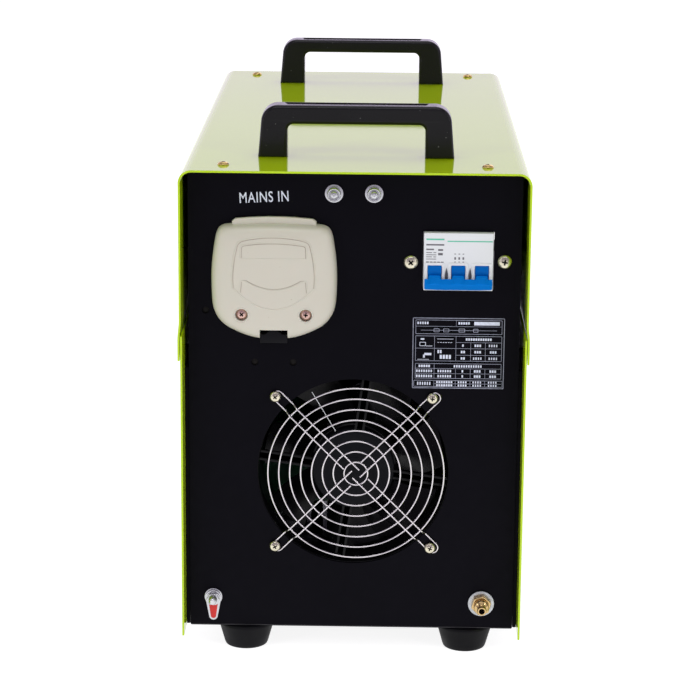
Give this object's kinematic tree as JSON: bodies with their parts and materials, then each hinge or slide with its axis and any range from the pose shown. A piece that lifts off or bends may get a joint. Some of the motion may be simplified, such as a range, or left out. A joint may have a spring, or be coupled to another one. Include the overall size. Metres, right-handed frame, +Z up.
{
  "type": "plasma cutter power unit",
  "caption": "Portable inverter plasma cutter power unit: upright sheet-metal case on rubber feet, two carry handles, rear fan with wire guard, breaker and mains terminal cover.",
  "frame": {"origin": "on the floor under the middle of the case, at the bottom of the feet", "axes": "+Z up; +Y towards the operator's end with the knob and the output sockets, -Y the mains end with the fan and the breaker; +X to the right when looking at the mains end"},
  "size_m": [0.2684, 0.555, 0.4296],
  "materials": {
    "lime_paint": "gloss powder coat",
    "black_paint": "fine-textured satin powder coat",
    "black_plastic": "moulded, semi-matt",
    "handle_plastic": "moulded, semi-gloss",
    "rubber": "matt",
    "ivory_plastic": "moulded, soft gloss",
    "white_plastic": "moulded, fine texture",
    "blue_plastic": "moulded",
    "window": "polished",
    "chrome": "bright",
    "zinc": "clear zinc plate",
    "yellow_zinc": "yellow passivated zinc",
    "brass": "machined",
    "aluminium": "extruded",
    "galvanised": "galvanised sheet",
    "board": "solder mask",
    "ferrite": "sintered",
    "copper": "enamelled copper wire",
    "hose": "smooth"
  },
  "bodies": {
    "case": {"air_hose": "hose", "air_inlet_barb": "brass", "air_inlet_nut": "brass", "air_inlet_washer": "aluminium", "base_plate": "black_paint", "breaker_body": "white_plastic", "breaker_screw_left": "yellow_zinc", "breaker_screw_right": "yellow_zinc", "cable_grommet": "rubber", "component_shelf": "galvanised", "control_board": "board", "control_socket": "zinc", "cover_screw_front_left": "yellow_zinc", "cover_screw_front_right": "yellow_zinc", "cover_screw_rear_left": "yellow_zinc", "cover_screw_rear_right": "yellow_zinc", "current_control": "zinc", "display_window": "window", "earth_bolt": "zinc", "earth_nut": "zinc", "earth_tag": "zinc", "earth_washer": "zinc", "fan_frame": "black_plastic", "fan_guard": "chrome", "foot_front_left": "rubber", "foot_front_right": "rubber", "foot_rear_left": "rubber", "foot_rear_right": "rubber", "front_handle": "handle_plastic", "front_panel": "black_paint", "guard_screw_lower_left": "yellow_zinc", "guard_screw_lower_right": "yellow_zinc", "guard_screw_upper_left": "yellow_zinc", "guard_screw_upper_right": "yellow_zinc", "heatsink": "aluminium", "main_transformer": "ferrite", "mode_switch_body": "black_plastic", "output_choke": "copper", "power_board": "board", "rear_handle": "handle_plastic", "rear_panel": "black_paint", "side_panel_left": "lime_paint", "side_panel_right": "lime_paint", "solenoid_valve": "brass", "terminal_block": "black_plastic", "terminal_cover": "ivory_plastic", "terminal_screw_left": "yellow_zinc", "terminal_screw_right": "yellow_zinc", "top_cover": "lime_paint", "top_stud_left": "zinc", "top_stud_right": "zinc", "top_stud_washer_left": "zinc", "top_stud_washer_right": "zinc", "torch_connector": "brass", "work_socket": "black_plastic"},
    "breaker_lever": {"breaker_lever": "blue_plastic"},
    "fan_rotor": {"fan_rotor": "black_plastic"},
    "current_knob": {"current_knob": "black_plastic"},
    "mode_rocker": {"mode_rocker": "black_plastic"}
  },
  "joints": [
    {"name": "breaker_lever_hinge", "type": "hinge", "parent": "case", "child": "breaker_lever", "pos_m": [0.0791, -0.256, 0.311], "axis": [-1, 0, 0], "range_deg": [0, 76]},
    {"name": "fan_spin", "type": "hinge", "parent": "case", "child": "fan_rotor", "pos_m": [0.0004, -0.2226, 0.1484], "axis": [0, 1, 0], "continuous": true},
    {"name": "current_knob_turn", "type": "hinge", "parent": "case", "child": "current_knob", "pos_m": [0, 0.2655, 0.262], "axis": [0, 1, 0], "range_deg": [-135, 135]},
    {"name": "mode_rocker_tilt", "type": "hinge", "parent": "case", "child": "mode_rocker", "pos_m": [-0.072, 0.2543, 0.262], "axis": [-1, 0, 0], "range_deg": [0, 20]}
  ]
}
